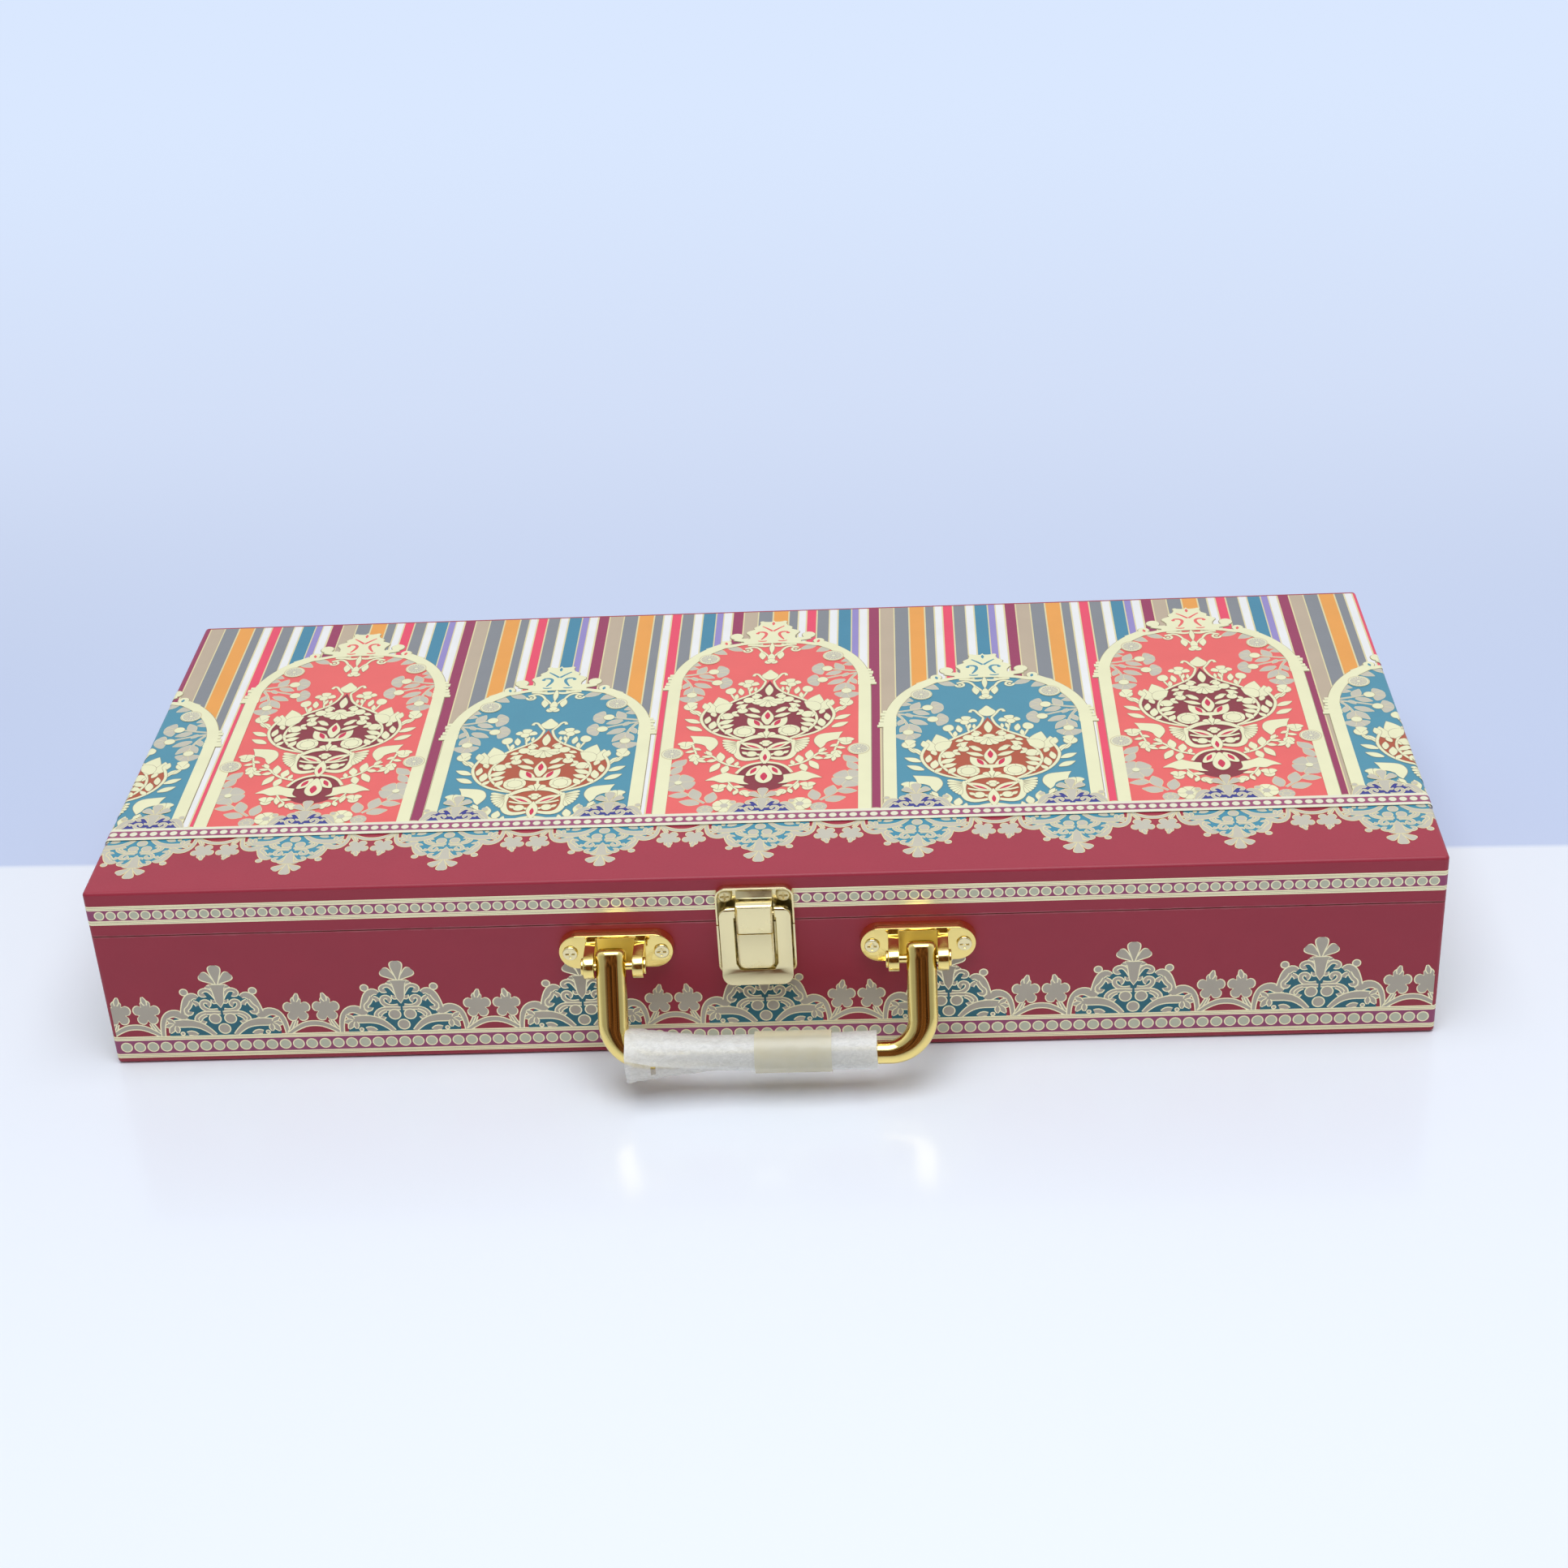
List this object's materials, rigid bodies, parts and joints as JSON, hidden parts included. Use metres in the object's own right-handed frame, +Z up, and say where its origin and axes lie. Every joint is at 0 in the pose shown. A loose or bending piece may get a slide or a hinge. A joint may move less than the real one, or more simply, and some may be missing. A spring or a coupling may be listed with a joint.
{
  "type": "jar gift box",
  "caption": "Flat printed-paper presentation case with a front latch, a drop handle, a rear-hinged lid and capped glass jars inside.",
  "frame": {"origin": "centre of the underside of the case, on the surface it stands on", "axes": "+X along the length, -Y out of the front with the latch and handle, +Z up"},
  "size_m": [0.457, 0.2339, 0.071],
  "materials": {
    "printed_paper": "matt laminated print, crimson ground with gold ornament",
    "lining_paper": "plain matt paper",
    "fibreboard": "raw fibreboard",
    "clear_glass": "clear moulded glass",
    "gilt_cap": "gold-lacquered tinplate",
    "gilt_casting": "polished gold plate",
    "plated_steel": "pale gold plated steel",
    "zinc_nut": "zinc plated",
    "foam_film": "translucent white foam film",
    "cream_tape": "cream adhesive tape"
  },
  "bodies": {
    "base": {"base_bottom_board": "fibreboard", "base_front_wall": "fibreboard", "base_back_wall": "fibreboard", "base_left_wall": "fibreboard", "base_right_wall": "fibreboard", "insert_board": "fibreboard", "insert_rests": "fibreboard", "base_print_wrap": "printed_paper", "base_lining_paper": "lining_paper", "base_underside_sheet": "lining_paper", "jar_1": "clear_glass", "jar_2": "clear_glass", "jar_3": "clear_glass", "jar_4": "clear_glass", "jar_5": "clear_glass", "jar_6": "clear_glass", "jar_7": "clear_glass", "jar_8": "clear_glass", "jar_9": "clear_glass", "jar_10": "clear_glass", "jar_cap_1": "gilt_cap", "jar_cap_2": "gilt_cap", "jar_cap_3": "gilt_cap", "jar_cap_4": "gilt_cap", "jar_cap_5": "gilt_cap", "jar_cap_6": "gilt_cap", "jar_cap_7": "gilt_cap", "jar_cap_8": "gilt_cap", "jar_cap_9": "gilt_cap", "jar_cap_10": "gilt_cap", "handle_left_bracket": "gilt_casting", "handle_right_bracket": "gilt_casting", "latch_base_plate": "gilt_casting", "handle_pins": "plated_steel", "bracket_screws": "plated_steel", "latch_base_screws": "plated_steel", "left_hinge_base_leaf": "plated_steel", "right_hinge_base_leaf": "plated_steel", "hinge_pins": "plated_steel", "hinge_base_screws": "plated_steel", "bracket_nuts": "zinc_nut"},
    "lid": {"lid_top_board": "fibreboard", "lid_front_rail": "fibreboard", "lid_back_rail": "fibreboard", "lid_left_rail": "fibreboard", "lid_right_rail": "fibreboard", "lid_print_wrap": "printed_paper", "lid_lining_paper": "lining_paper", "latch_keeper_plate": "gilt_casting", "latch_keeper_screws": "plated_steel", "latch_frame_pin": "plated_steel", "left_hinge_lid_leaf": "plated_steel", "right_hinge_lid_leaf": "plated_steel", "hinge_lid_screws": "plated_steel"},
    "handle": {"handle_bar": "gilt_casting", "handle_foam_wrap": "foam_film", "handle_tape": "cream_tape"},
    "latch": {"latch_frame": "gilt_casting"}
  },
  "joints": [
    {"name": "lid_hinge", "type": "hinge", "parent": "base", "child": "lid", "pos_m": [0, 0.1005, 0.0534], "axis": [-1, 0, 0], "range_deg": [0, 180]},
    {"name": "handle_swing", "type": "hinge", "parent": "base", "child": "handle", "pos_m": [0.0019, -0.1104, 0.0446], "axis": [-1, 0, 0], "range_deg": [-29, 154]},
    {"name": "latch_swing", "type": "hinge", "parent": "lid", "child": "latch", "pos_m": [-0.0014, -0.1024, 0.059], "axis": [-1, 0, 0], "range_deg": [0, 180]}
  ]
}
